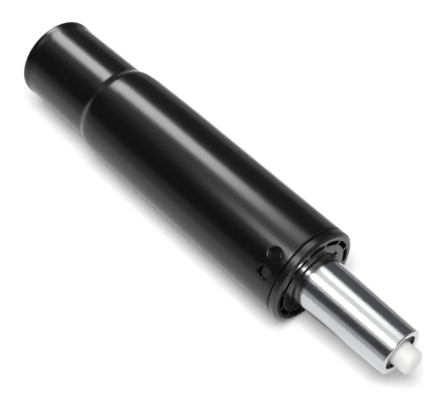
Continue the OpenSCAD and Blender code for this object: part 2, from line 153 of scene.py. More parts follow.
class Effects:
    """Shader groups that several finishes share."""

    SPECK_SIZE = 0.12
    SPECK_LIMIT = 0.8

    def __init__(self) -> None:
        """Builds each group once."""
        self.grain = self._grain()
        self.lines = self._lines()
        self.specks = self._specks()

    @staticmethod
    def _start(name: str, numbers: tuple[str, ...], results: tuple[str, ...]) -> tuple[Graph, Any]:
        """Starts a shader group with a vector input.

        Args:
            name: Name of the group.
            numbers: Names of its number inputs.
            results: Names of its outputs.

        Returns:
            The group's graph and its input sockets.
        """
        graph = Graph(bpy.data.node_groups.new(name, "ShaderNodeTree"))
        graph.port("Vector", "INPUT", "Vector")
        for number in numbers:
            graph.port(number, "INPUT", "Float")
        for result in results:
            graph.port(result, "OUTPUT", "Float")
        return graph, graph.add("NodeGroupInput").outputs

    def _grain(self) -> NodeTree:
        """Soft clouds and a finer grain, both from 0 to 1.

        Returns:
            The group's tree.
        """
        graph, given = self._start("surface_grain", ("Scale", "Fine Scale"), ("Cloud", "Fine"))
        made = {}
        for name, scale, detail in (("Cloud", "Scale", 4.0), ("Fine", "Fine Scale", 2.0)):
            inputs = {"Vector": given["Vector"], "Scale": given[scale], "Detail": detail}
            made[name] = graph.add("ShaderNodeTexNoise", inputs).outputs["Fac"]
        graph.add("NodeGroupOutput", made)
        return graph.tree

    def _lines(self) -> NodeTree:
        """Fine tool lines round the axis and along it, both from 0 to 1.

        Returns:
            The group's tree.
        """
        graph, given = self._start("tool_lines", ("Pitch",), ("Rings", "Lengthwise"))
        part = graph.add("ShaderNodeSeparateXYZ", {0: given["Vector"]}).outputs
        reach = graph.math("SQRT", graph.math("ADD", *(graph.math("POWER", part[axis], 2.0) for axis in "XY")))
        places = {
            "Rings": graph.math("ADD", part["Z"], reach),
            "Lengthwise": graph.math("MULTIPLY", graph.math("ARCTAN2", part["Y"], part["X"]), reach),
        }
        made = {}
        for name, place in places.items():
            inputs = {"W": graph.math("DIVIDE", place, given["Pitch"]), "Scale": 1.0, "Detail": 3.0}
            made[name] = graph.add("ShaderNodeTexNoise", inputs, noise_dimensions="1D").outputs["Fac"]
        graph.add("NodeGroupOutput", made)
        return graph.tree

    def _specks(self) -> NodeTree:
        """Sparse small specks of dust or pitting, from 0 to 1.

        Returns:
            The group's tree.
        """
        graph, given = self._start("specks", ("Scale",), ("Mask",))
        cells = graph.add("ShaderNodeTexVoronoi", {"Vector": given["Vector"], "Scale": given["Scale"]}).outputs
        chance = graph.add("ShaderNodeSeparateXYZ", {0: cells["Color"]}).outputs["X"]
        size = graph.math("MULTIPLY", graph.math("GREATER_THAN", chance, self.SPECK_LIMIT), self.SPECK_SIZE)
        graph.add("NodeGroupOutput", {"Mask": graph.math("LESS_THAN", cells["Distance"], size)})
        return graph.tree


@dataclass(frozen=True)
class Finish:
    """One finish of the lift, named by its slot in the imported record."""

    slot: str
    base: Colour
    shade: Colour
    rough: Point
    metallic: float = 0.0
    ior: float = 1.5
    grain: float = 60.0
    fine_grain: float = 1400.0
    bump: float = 0.15
    bump_depth: float = 0.01
    lay: Lay = Lay.NONE
    pitch: float = 0.3
    specks: float = 0.0
    speck_colour: Colour = (0.3, 0.3, 0.3)
    subsurface: float = 0.0
    noise_range: Point = (0.3, 0.7)
    scatter_radius: Colour = (1.0, 0.9, 0.8)
    scatter_depth: float = 2.0

    def material(self, effects: Effects) -> Material:
        """Builds the material.

        Args:
            effects: The shared shader groups.

        Returns:
            The material, which reads Object coordinates only.
        """
        made = bpy.data.materials.new(self.slot)
        made.use_nodes = True
        graph = Graph(made.node_tree)
        place = {"Vector": graph.add("ShaderNodeTexCoord").outputs["Object"]}
        sizes = {"Scale": self.grain, "Fine Scale": self.fine_grain}
        grain = graph.add("ShaderNodeGroup", place | sizes, node_tree=effects.grain).outputs
        colour = graph.mix(grain["Cloud"], (*self.base, 1.0), (*self.shade, 1.0))
        relief = grain["Fine"]
        if self.lay is not Lay.NONE:
            lines = graph.add("ShaderNodeGroup", place | {"Pitch": self.pitch * MM}, node_tree=effects.lines)
            relief = lines.outputs[self.lay.value]
        if self.specks:
            dots = graph.add("ShaderNodeGroup", place | {"Scale": self.specks}, node_tree=effects.specks)
            colour = graph.mix(dots.outputs["Mask"], colour, (*self.speck_colour, 1.0))
        blend = graph.math("MULTIPLY", graph.math("ADD", relief, grain["Cloud"]), 0.5)
        bump = graph.add("ShaderNodeBump", {"Strength": self.bump, "Distance": self.bump_depth * MM, "Height": relief})
        rough = graph.remap(blend, self.noise_range, self.rough)
        inputs = {
            "Base Color": colour, "Roughness": rough, "Normal": bump, "Metallic": self.metallic, "IOR": self.ior,
            "Subsurface Weight": self.subsurface, "Subsurface Radius": self.scatter_radius,
            "Subsurface Scale": self.scatter_depth * MM,
        }
        shader = graph.add("ShaderNodeBsdfPrincipled", inputs)
        graph.add("ShaderNodeOutputMaterial", {"Surface": shader})
        return made


FINISHES = (
    Finish("column_paint", (0.002, 0.002, 0.0023), (0.003, 0.003, 0.0034), (0.2, 0.24), ior=1.46, grain=35.0,
           fine_grain=900.0, bump=0.1, bump_depth=0.006, specks=260.0, speck_colour=(0.008, 0.008, 0.008)),
    Finish("bush_plastic", (0.003, 0.003, 0.0033), (0.005, 0.005, 0.0054), (0.2, 0.26), grain=90.0,
           fine_grain=2200.0, bump=0.1, bump_depth=0.008, specks=400.0, speck_colour=(0.012, 0.012, 0.012)),
    Finish("tube_chrome", (0.59, 0.595, 0.605), (0.54, 0.545, 0.555), (0.13, 0.22), metallic=1.0, grain=45.0,
           fine_grain=1200.0, bump=0.6, bump_depth=0.05, specks=420.0, speck_colour=(0.35, 0.35, 0.36)),
    Finish("button_plastic", (0.84, 0.84, 0.825), (0.79, 0.79, 0.775), (0.32, 0.42), grain=150.0, bump=0.1,
           bump_depth=0.01, subsurface=0.25),
    Finish("plug_plastic", (0.045, 0.045, 0.047), (0.065, 0.065, 0.067), (0.45, 0.6), grain=200.0, lay=Lay.RINGS,
           pitch=0.4, bump=0.15),
    Finish("plain_steel", (0.42, 0.43, 0.45), (0.34, 0.35, 0.37), (0.28, 0.42), metallic=1.0, lay=Lay.RINGS, pitch=0.4),
    Finish("bearing_steel", (0.56, 0.57, 0.59), (0.5, 0.51, 0.53), (0.12, 0.2), metallic=1.0, lay=Lay.RINGS,
           pitch=0.25, bump=0.08, bump_depth=0.003),
    Finish("rod_steel", (0.6, 0.61, 0.63), (0.54, 0.55, 0.57), (0.08, 0.16), metallic=1.0, lay=Lay.RINGS, pitch=0.2,
           bump=0.06, bump_depth=0.003),
    Finish("spring_steel", (0.12, 0.12, 0.13), (0.08, 0.08, 0.09), (0.3, 0.45), metallic=1.0, grain=300.0),
    Finish("cage_brass", (0.6, 0.44, 0.18), (0.5, 0.36, 0.14), (0.25, 0.4), metallic=1.0, grain=220.0),
    Finish("guide_brass", (0.56, 0.4, 0.18), (0.48, 0.33, 0.14), (0.22, 0.36), metallic=1.0, lay=Lay.RINGS, pitch=0.35),
    Finish("cast_aluminium", (0.5, 0.51, 0.53), (0.42, 0.43, 0.45), (0.35, 0.55), metallic=1.0, grain=260.0,
           fine_grain=2500.0, bump=0.3, bump_depth=0.03),
    Finish("drawn_aluminium", (0.58, 0.59, 0.61), (0.5, 0.51, 0.53), (0.2, 0.34), metallic=1.0, lay=Lay.LENGTHWISE,
           pitch=0.3),
    Finish("ring_plastic", (0.8, 0.76, 0.68), (0.72, 0.68, 0.6), (0.4, 0.5), grain=240.0),
    Finish("black_rubber", (0.018, 0.018, 0.018), (0.03, 0.03, 0.03), (0.55, 0.75), grain=180.0, fine_grain=2600.0,
           bump=0.35, bump_depth=0.03),
)


def heading(azimuth: float) -> Vector:
    """Level direction at an azimuth in degrees."""
    turn = radians(azimuth)
    return Vector((cos(turn), sin(turn), 0))


def polar(centre: Point, radius: float, angle: float) -> Point:
    """Point on a circle at an angle in degrees, from the outward direction upwards."""
    turn = radians(angle)
    return centre[0] + radius * cos(turn), centre[1] + radius * sin(turn)


def arc(centre: Point, radius: float, start: float, end: float, steps: int) -> list[Point]:
    """Points on an arc.

    Args:
        centre: Middle of the arc, as radius and height.
        radius: Radius of the arc.
        start: First angle in degrees, from the outward direction upwards.
        end: Last angle in degrees.
        steps: Number of spans.

    Returns:
        The points, both ends included.
    """
    return [polar(centre, radius, start + (end - start) * step / steps) for step in range(steps + 1)]


def held(outline: list[Point]) -> list[Point]:
    """Adds points near both ends of each long span, so that smooth shading stays true along it.

    Args:
        outline: A closed outline.

    Returns:
        The outline with the added points.
    """
    made = []
    for here, after in zip(outline, outline[1:] + outline[:1]):
        made.append(here)
        span = dist(here, after)
        if span > LONG_SPAN and max(here[0], after[0]) > HOLD:
            for share in (HOLD / span, 1 - HOLD / span):
                made.append((here[0] + (after[0] - here[0]) * share, here[1] + (after[1] - here[1]) * share))
    return made


def strip(low: list[int], high: list[int]) -> list[tuple[int, ...]]:
    """Joins two rows of vertices by faces.

    Args:
        low: Vertex numbers of the first row.
        high: Vertex numbers of the second row, in the same order.

    Returns:
        The faces, which are triangles where a row stays on one vertex.
    """
    faces = [tuple(dict.fromkeys(corners)) for corners in zip(low, low[1:], high[1:], high)]
    return [face for face in faces if len(face) > 2]


def object_of(name: str, vertices: list[Vector], faces: list[tuple[int, ...]]) -> Object:
    """Makes a mesh object in the scene with its faces pointing outwards.

    Args:
        name: Name of the object.
        vertices: Places in millimetres.
        faces: Vertex numbers of each face.

    Returns:
        The object, which sits at the origin.
    """
    mesh = bpy.data.meshes.new(name)
    mesh.from_pydata([v * MM for v in vertices], [], faces)
    work = bmesh.new()
    work.from_mesh(mesh)
    bmesh.ops.recalc_face_normals(work, faces=work.faces)
    work.to_mesh(mesh)
    work.free()
    made = bpy.data.objects.new(name, mesh)
    bpy.context.scene.collection.objects.link(made)
    return made


def turned(name: str, outline: list[Point], steps: int = ROUND_STEPS) -> Object:
    """Turns a closed outline about the lift's axis.

    Args:
        name: Name of the object.
        outline: Radius and height of each point in millimetres; points at radius 0 become one vertex.
        steps: Number of spans round the axis.

    Returns:
        The object.
    """
    vertices: list[Vector] = []
    rings: list[list[int]] = []
    for radius, height in outline:
        first = len(vertices)
        if radius < ON_AXIS:
            vertices.append(Vector((0, 0, height)))
            rings.append([first] * steps)
            continue
        for step in range(steps):
            angle = 2 * pi * step / steps
            vertices.append(Vector((radius * cos(angle), radius * sin(angle), height)))
        rings.append(list(range(first, first + steps)))
    faces = []
    for low, high in zip(rings, rings[1:] + rings[:1]):
        faces += strip(low + low[:1], high + high[:1])
    return object_of(name, vertices, faces)


def smooth(piece: Object) -> None:
    """Shades a piece smoothly and keeps its real edges sharp."""
    piece.data.shade_smooth()
    piece.data.set_sharp_from_angle(angle=SHARP_ANGLE)


class Routine(Graph):
    """A geometry node tree that repeats or drills a piece round the lift's axis."""

    def __init__(self, name: str, inputs: dict[str, str]) -> None:
        """Starts the tree.

        Args:
            name: Name of the tree.
            inputs: Short type name of each input by its name, apart from the geometry and the material.
        """
        super().__init__(bpy.data.node_groups.new(name, "GeometryNodeTree"))
        self.port("Geometry", "OUTPUT", "Geometry")
        self.port("Geometry", "INPUT", "Geometry")
        kinds = {"Material": "Material", **inputs}
        self.ports = {key: self.port(key, "INPUT", kind) for key, kind in kinds.items()}
        self.given = self.add("NodeGroupInput").outputs
        self.place = self.add("GeometryNodeInputIndex").outputs[0]

    def spread(self, item: NodeSocket, count: NodeSocket, angle: NodeSocket) -> NodeSocket:
        """Places copies of an item at angles about the axis and makes them real.

        Args:
            item: The geometry to repeat.
            count: Number of copies.
            angle: Angle of each copy.

        Returns:
            The copies as plain geometry.
        """
        points = self.add("GeometryNodePoints", {"Count": count})
        euler = self.add("ShaderNodeCombineXYZ", {"Z": angle})
        turn = self.add("FunctionNodeEulerToRotation", {0: euler})
        inputs = {"Points": points, "Instance": item, "Rotation": turn}
        copies = self.add("GeometryNodeInstanceOnPoints", inputs)
        return self.add("GeometryNodeRealizeInstances", {0: copies}).outputs[0]

    def end(self, result: NodeSocket) -> None:
        """Gives the result its material and ends the tree."""
        dressed = self.add("GeometryNodeSetMaterial", {"Geometry": result, "Material": self.given["Material"]})
        self.add("NodeGroupOutput", {0: dressed})

    def run(self, piece: Object, **values: Any) -> None:
        """Runs the tree on a piece and keeps the result as its plain mesh.

        Args:
            piece: The object, whose mesh is the tree's input.
            values: Input values, with spaces in names written as underscores.
        """
        modifier = piece.modifiers.new(self.tree.name, "NODES")
        modifier.node_group = self.tree
        for name, value in values.items():
            modifier[self.ports[name.replace("_", " ")]] = value
        graph = bpy.context.evaluated_depsgraph_get()
        graph.update()
        mesh = bpy.data.meshes.new_from_object(piece.evaluated_get(graph))
        piece.modifiers.clear()
        piece.data = mesh


def ring_routine() -> Routine:
    """Makes the routine that repeats a piece evenly round the axis and joins what meets.

    Returns:
        The routine.
    """
    made = Routine("ring_of_pieces", {"Count": "Int", "First Turn": "Float"})
    given = made.given
    share = made.math("DIVIDE", made.math("MULTIPLY", made.place, 2 * pi), given["Count"])
    real = made.spread(given["Geometry"], given["Count"], made.math("ADD", share, given["First Turn"]))
    made.end(made.add("GeometryNodeMergeByDistance", {0: real, "Distance": JOIN_DISTANCE}).outputs[0])
    return made


def drill_routine() -> Routine:
    """Makes the routine that drills pairs of round holes through a piece's wall.

    Returns:
        The routine.
    """
    sizes = ("Spread", "Hole Radius", "Height", "Wall Radius", "Depth")
    made = Routine("lock_holes", {"Pairs": "Int", **dict.fromkeys(sizes, "Float")})
    given = made.given
    inputs = {"Vertices": DRILL_STEPS, "Radius": given["Hole Radius"], "Depth": given["Depth"]}
    drill = made.add("GeometryNodeMeshCylinder", inputs)
    lift = made.add("ShaderNodeCombineXYZ", {"X": given["Wall Radius"], "Z": given["Height"]})
    inputs = {"Geometry": drill, "Translation": lift, "Rotation": (0.0, pi / 2, 0.0)}
    laid = made.add("GeometryNodeTransform", inputs)
    pair = made.math("FLOOR", made.math("DIVIDE", made.place, 2.0))
    side = made.math("SUBTRACT", made.math("MODULO", made.place, 2.0), 0.5)
    pair_turn = made.math("DIVIDE", made.math("MULTIPLY", pair, 2 * pi), given["Pairs"])
    angle = made.math("ADD", pair_turn, made.math("MULTIPLY", side, given["Spread"]))
    drills = made.spread(laid.outputs[0], made.math("MULTIPLY", given["Pairs"], 2.0), angle)
    inputs = {0: given["Geometry"], 1: drills}
    made.end(made.add("GeometryNodeMeshBoolean", inputs, operation="DIFFERENCE", solver="EXACT").outputs[0])
    return made


@dataclass
class Workshop:
    """What every sub-assembly needs to dress and place its pieces."""

    materials: dict[str, Material]
    ring: Routine = field(default_factory=ring_routine)
    drill: Routine = field(default_factory=drill_routine)
    replaced: list[str] = field(default_factory=list)

    def place(self, piece: Object, body: str, slot: str, node: str) -> None:
        """Dresses a finished piece and lets it stand for a node.

        Args:
            piece: The finished mesh object.
            body: The body that it rides on.
            slot: Its material slot in the record.
            node: The node that it replaces.
        """
        piece.data.materials.clear()
        piece.data.materials.append(self.materials[slot])
        smooth(piece)
        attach(piece, body)
        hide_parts(node)
        self.replaced.append(node)
        LOG.info("%s: %d faces on %s", piece.name, len(piece.data.polygons), body)


@dataclass
class Column:
    """The painted column tube with its base taper and lock holes."""

    radius: float = 27.0
    wall: float = 2.0
    length: float = 203.5
    neck_end: float = 23.6
    half_taper: float = radians(1.4378 / 2)
    shoulder_top: float = 105.8
    shoulder_rounds: tuple[float, float, float] = (1900.0, 90.0, 12.0)
    shoulder_slopes: tuple[float, float] = (1.2, 6.0)
    shoulder_fillet: float = 9.0
    flare_length: float = 6.5
    flare_round: float = 18.0
    flare_slope: float = 11.0
    lip_round: float = 9.0
    edge_round: float = 0.35
    mouth_round: float = 1.0
    hole_radius: float = 3.5
    hole_drop: float = 7.6
    hole_spread: float = radians(23)
    hole_edge: float = 0.8
    hole_pairs: int = 2
    hole_edge_steps: int = 8
    hole_edge_band: float = 0.5
    hole_slack: float = 1.02
    hole_guard: float = 1.6
    drill_walls: float = 4.0

    @property
    def hole_height(self) -> float:
        """Height of the lock holes."""
        return self.length - self.hole_drop

    def neck_radius(self, height: float) -> float:
        """Outside radius of the base taper at a height."""
        return self.neck_end + height * tan(self.half_taper)

    def side(self, inset: float) -> list[Point]:
        """The tube's swaged shoulder, which eases into the column over a long way.

        Args:
            inset: Distance of the side inside the outer surface.

        Returns:
            Points from the fillet upwards to the column's full width.
        """
        middles = [(self.radius - self.shoulder_rounds[0], self.shoulder_top)]
        for wide, tight, slope in zip(self.shoulder_rounds, self.shoulder_rounds[1:], self.shoulder_slopes):
            middles.append(polar(middles[-1], wide - tight, -slope))
        last, bend = self.shoulder_rounds[-1], self.shoulder_fillet
        gap = (middles[-1][0] - self.neck_radius(middles[-1][1])) * cos(self.half_taper)
        steepest = degrees(self.half_taper + acos((bend - gap) / (last + bend)))
        fillet = polar(middles[-1], last + bend, -steepest)
        made = arc(fillet, bend + inset, 180 - degrees(self.half_taper), 180 - steepest, steps=16)
        slopes = (0.0, *self.shoulder_slopes, steepest)
        for number in reversed(range(len(middles))):
            round_inside = self.shoulder_rounds[number] - inset
            made += arc(middles[number], round_inside, -slopes[number + 1], -slopes[number], steps=10)[1:]
        return made

    def flare(self) -> list[Point]:
        """The lip and the hollow flare at the lower end.

        Returns:
            Points from the end's face upwards.
        """
        edge = self.edge_round
        hollow = (
            self.neck_radius(self.flare_length) + self.flare_round * cos(self.half_taper),
            self.flare_length - self.flare_round * sin(self.half_taper),
        )
        back = 180 + self.flare_slope
        lip = polar(hollow, self.flare_round + self.lip_round, back)
        drop = degrees(asin((lip[1] - edge) / (self.lip_round - edge)))
        corner = polar(lip, self.lip_round - edge, -drop)
        made = arc(corner, edge, -90, -drop, steps=6)
        made += arc(lip, self.lip_round, -drop, self.flare_slope, steps=10)[1:]
        return made + arc(hollow, self.flare_round, back, 180 - degrees(self.half_taper), steps=10)[1:]

    def outline(self) -> list[Point]:
        """The section of the tube's wall.

        Returns:
            The closed outline.
        """
        mouth = self.mouth_round
        inner_end = self.neck_end - self.wall / cos(self.half_taper)
        outer = self.flare() + self.side(0.0)
        outer += [(self.radius, self.hole_height + way * self.hole_guard * self.hole_radius) for way in (-1, 1)]
        outer += arc((self.radius - mouth, self.length - mouth), mouth, 0, 90, steps=6)
        inner = [(self.radius - self.wall, self.length), *reversed(self.side(self.wall)), (inner_end, 0.0)]
        return held(outer + inner)

    def round_holes(self, mesh: Mesh) -> None:
        """Rounds the outer edges of the lock holes, as the coat of paint does.

        Args:
            mesh: The drilled tube's mesh.
        """
        work = bmesh.new()
        work.from_mesh(mesh)
        wall = (self.radius - self.hole_edge_band) * MM
        picked = []
        for edge in work.edges:
            middle = (edge.verts[0].co + edge.verts[1].co) / 2
            near = abs(middle.z - self.hole_height * MM) < self.hole_radius * self.hole_slack * MM
            folded = len(edge.link_faces) == 2 and edge.calc_face_angle(0.0) > SHARP_ANGLE
            if near and folded and hypot(middle.x, middle.y) > wall:
                picked.append(edge)
        size, steps = self.hole_edge * MM, self.hole_edge_steps
        bmesh.ops.bevel(work, geom=picked, offset=size, segments=steps, profile=0.5, affect="EDGES")
        work.to_mesh(mesh)
        work.free()

    def build(self, shop: Workshop) -> None:
        """Builds, drills and places the tube.

        Args:
            shop: Where the piece is dressed and placed.
        """
        piece = turned("painted_column", self.outline())
        shop.drill.run(
            piece, Material=shop.materials["column_paint"], Pairs=self.hole_pairs, Spread=self.hole_spread,
            Hole_Radius=self.hole_radius * MM, Height=self.hole_height * MM,
            Wall_Radius=(self.radius - self.wall / 2) * MM, Depth=self.drill_walls * self.wall * MM,
        )
        self.round_holes(piece.data)
        shop.place(piece, "column", "column_paint", "column_tube")


@dataclass
class GuideBush:
    """The moulded bush in the column's mouth, with cored slots and lock pegs."""

    column: Column
    bore: float = 14.55
    skirt: float = 24.95
    depth: float = 72.0
    flange: float = 5.0
    flange_bevel: Point = (1.8, 1.0)
    flange_round: float = 0.6
    seam_depth: float = 1.3
    seam_height: float = 0.7
    slots: int = 12
    slot_outer: float = 23.2
    slot_width: float = 2.6
    slot_web: float = 1.5
    slot_depth: float = 40.0
    slot_turn: float = radians(11.4)
    slot_edge: float = 0.22
    bore_bevel: float = 1.1
    notch_width: float = 3.4
    notch_cut: float = 1.4
    notch_depth: float = 3.2
    notch_slots: tuple[int, int] = (2, 8)
    peg_gap: float = 0.3
    peg_recess: float = 0.7
    peg_round: float = 0.3
    peg_ramp: float = 1.2
    slot_spans: int = 16
    web_spans: int = 2
    edge_steps: int = 4
    hold: float = 0.2
    seam_round: float = 0.2
    seam_hold: float = 0.1
    bevel_soft: float = 0.12
    notch_slack: float = 0.05
    peg_steps: int = 64

    @property
    def face(self) -> float:
        """Height of the flange's face."""
        return self.column.length + self.flange

    def edge_angle(self, radius: float, inset: float) -> float:
        """Angle of a slot's straight side at a radius, from the slot's middle."""
        return pi / self.slots - asin((self.slot_web / 2 - inset) / radius)

    def ring(self, radius: float, height: float, at: float) -> list[Vector]:
        """One row of points across a sector.

        Args:
            radius: Radius of the row.
            height: Height of the row.
            at: Radius whose slot side gives the row's angles.

        Returns:
            The points from one web's middle to the next.
        """
        half = pi / self.slots
        side = self.edge_angle(at, self.slot_edge)
        angles = [-half + (half - side) * step / self.web_spans for step in range(self.web_spans)]
        angles += [-side + 2 * side * step / self.slot_spans for step in range(self.slot_spans + 1)]
        angles += [side + (half - side) * (step + 1) / self.web_spans for step in range(self.web_spans)]
        return [Vector((radius * cos(a), radius * sin(a), height)) for a in angles]

    def slot_loop(self, inset: float, height: float) -> list[Vector]:
        """The slot's outline, widened into the wall.

        Args:
            inset: Distance that the outline is widened by.
            height: Height of its points.

        Returns:
            The points, along the inner side and back along the outer one.
        """
        made = []
        for radius, way in ((self.slot_outer - self.slot_width - inset, 1), (self.slot_outer + inset, -1)):
            side = self.edge_angle(radius, inset)
            for step in range(self.slot_spans + 1):
                angle = way * side * (2 * step / self.slot_spans - 1)
                made.append(Vector((radius * cos(angle), radius * sin(angle), height)))
        return made

    def section(self) -> list[tuple[Point, bool]]:
        """The bush's section from the slots' outer side round to their inner side.

        Returns:
            Each point, with True where its row takes the angles of the slots' outer side.
        """
        rim, mouth, face = self.column.radius, self.column.length, self.face
        low = mouth - self.depth
        seam = mouth + self.seam_height
        edge = self.slot_edge
        soft = self.seam_round
        bend = self.flange_round
        slope = atan2(*self.flange_bevel)
        upper = rim - self.flange_bevel[0] - bend * tan((pi / 2 - slope) / 2)
        lower = face - self.flange_bevel[1] - bend * tan(slope / 2)
        outer = [(self.slot_outer + edge, face), (upper - self.hold, face)]
        outer += arc((upper, face - bend), bend, 90, degrees(slope), steps=6)
        outer += arc((rim - bend, lower), bend, degrees(slope), 0, steps=8)
        outer += [(rim, lower - self.hold), (rim, seam + soft + self.seam_hold)]
        outer += arc((rim - soft, seam + soft), soft, 0, -90, steps=4)
        outer += [(rim - self.seam_depth, seam), (rim - self.seam_depth, mouth)]
        outer += [(self.skirt, mouth), (self.skirt, low)]
        bevel = self.bore + self.bore_bevel
        notch = bevel + self.notch_cut
        soft = self.bevel_soft
        inner = [(self.bore, low), (self.bore, face - self.bore_bevel)]
        inner += [(bevel - self.bore_bevel / 2, face - self.bore_bevel / 2)]
        inner += [(bevel - soft, face - soft), (bevel + soft, face), (notch, face)]
        inner += [(notch + self.hold, face), (self.slot_outer - self.slot_width - edge, face)]
        return [(point, True) for point in outer] + [(point, False) for point in inner]

    def sector(self) -> Object:
        """One slot's sector of the bush, open where it meets the next.

        Returns:
            The object, with the slot's middle on the +X side.
        """
        vertices: list[Vector] = []
        faces: list[tuple[int, ...]] = []
        inner_at = self.slot_outer - self.slot_width - self.slot_edge
        outer_at = self.slot_outer + self.slot_edge
        rows = []
        for (radius, height), outside in self.section():
            row = self.ring(radius, height, outer_at if outside else inner_at)
            rows.append(list(range(len(vertices), len(vertices) + len(row))))
            vertices += row
        for here, after in zip(rows, rows[1:]):
            faces += strip(here, after)
        first, last = rows[0], rows[-1]
        start, stop = self.web_spans, self.web_spans + self.slot_spans
        faces += strip(last[:start + 1], first[:start + 1]) + strip(last[stop:], first[stop:])
        loop = last[start:stop + 1] + first[start:stop + 1][::-1]
        turns = [pi / 2 * (step + 1) / self.edge_steps for step in range(self.edge_steps)]
        rings = [(self.slot_edge * (1 - sin(t)), self.face - self.slot_edge * (1 - cos(t))) for t in turns]
        rings += [(0.0, self.face - 2 * self.slot_edge), (0.0, self.face - self.slot_depth)]
        for inset, height in rings:
            row = self.slot_loop(inset, height)
            fresh = list(range(len(vertices), len(vertices) + len(row)))
            vertices += row
            faces += strip(loop + loop[:1], fresh + fresh[:1])
            loop = fresh
        half = self.slot_spans + 1
        faces += strip(loop[:half], loop[::-1][:half])
        return object_of("moulded_bush", vertices, faces)

    def cut_notches(self, mesh: Mesh) -> None:
        """Sinks the two notches into the edge of the bore's bevel.

        Args:
            mesh: The whole bush's mesh.
        """
        floor = self.face - self.notch_depth
        reach = self.bore + self.bore_bevel + self.notch_cut + self.notch_slack
        for slot in self.notch_slots:
            middle = self.slot_turn + slot * 2 * pi / self.slots
            for vertex in mesh.vertices:
                place = vertex.co / MM
                along = place.x * cos(middle) + place.y * sin(middle)
                across = place.y * cos(middle) - place.x * sin(middle)
                if 0 < along < reach and abs(across) < self.notch_width / 2 and place.z > floor:
                    vertex.co.z = floor * MM

    def pegs(self, shop: Workshop) -> Object:
        """The lock pegs in the column's holes, ramped so that the bush snaps in.

        Args:
            shop: Where the pegs are repeated.

        Returns:
            All pegs as one object.
        """
        radius = self.column.hole_radius - self.peg_gap
        top = self.column.radius - self.peg_recess
        foot = self.skirt - self.column.wall / 2
        soft = self.peg_round
        outline = [(0.0, foot), (radius, foot)]
        outline += arc((radius - soft, top - soft), soft, 0, 90, steps=6)
        outline += [(0.0, top)]
        item = turned("lock_pegs", held(outline), self.peg_steps)
        for vertex in item.data.vertices:
            share = (vertex.co.z / MM - foot) / (top - foot)
            vertex.co.z -= share * self.peg_ramp * (vertex.co.x / radius + MM) / 2
        laid = Matrix.Rotation(pi / 2, 4, "Y")
        lift = Matrix.Translation((0, 0, self.column.hole_height * MM))
        pair = bmesh.new()
        for way in (-0.5, 0.5):
            copy = item.data.copy()
            copy.transform(Matrix.Rotation(way * self.column.hole_spread, 4, "Z") @ lift @ laid)
            pair.from_mesh(copy)
        pair.to_mesh(item.data)
        pair.free()
        shop.ring.run(item, Material=shop.materials["bush_plastic"], Count=self.column.hole_pairs)
        return item

    def build(self, shop: Workshop) -> None:
        """Builds the sectors, joins the pegs to them and places the bush.

        Args:
            shop: Where the piece is dressed and placed.
        """
        piece = self.sector()
        shop.ring.run(piece, Material=shop.materials["bush_plastic"], Count=self.slots, First_Turn=self.slot_turn)
        self.cut_notches(piece.data)
        pegs = self.pegs(shop)
        work = bmesh.new()
        work.from_mesh(piece.data)
        work.from_mesh(pegs.data)
        bmesh.ops.recalc_face_normals(work, faces=work.faces)
        work.to_mesh(piece.data)
        work.free()
        bpy.data.objects.remove(pegs)
        shop.place(piece, "column", "bush_plastic", "guide_bush")


@dataclass
class PressureTube:
    """The chromed tube with its top taper and rolled rim."""

    radius: float = 14.5
    bore: float = 12.0
    foot: float = 33.31
    foot_hole: float = 7.5
    foot_lip: float = 1.8
    foot_round: float = 1.5
    cone: float = 213.5
    top: float = 266.0
    half_taper: float = radians(2.8757 / 2)
    rim_width: float = 3.25
    rim_depth: float = 2.6
    rim_round: float = 0.8
    lip_round: float = 0.6

    @property
    def top_radius(self) -> float:
        """Outside radius of the top taper at the rim."""
        return self.radius - (self.top - self.cone) * tan(self.half_taper)

    def outline(self) -> list[Point]:
        """The section of the tube's wall.

        Returns:
            The closed outline.
        """
        opening = self.top_radius - self.rim_width
        ledge = self.top - self.rim_depth
        foot, rim, lip = self.foot_round, self.rim_round, self.lip_round
        outer = [(self.foot_hole, self.foot)]
        outer += arc((self.radius - foot, self.foot + foot), foot, -90, 0, steps=10)
        outer += [(self.radius, self.cone)]
        outer += arc((self.top_radius - rim, self.top - rim), rim, 0, 90, steps=16)
        outer += arc((opening + lip, self.top - lip), lip, 90, 180, steps=14)
        inner = [(opening, ledge), (self.bore, ledge), (self.bore, self.foot + self.foot_lip)]
        inner += [(self.foot_hole, self.foot + self.foot_lip)]
        return held(outer + inner)

    def build(self, shop: Workshop) -> None:
        """Builds and places the tube."""
        shop.place(turned("chromed_tube", self.outline()), "cylinder", "tube_chrome", "pressure_tube")


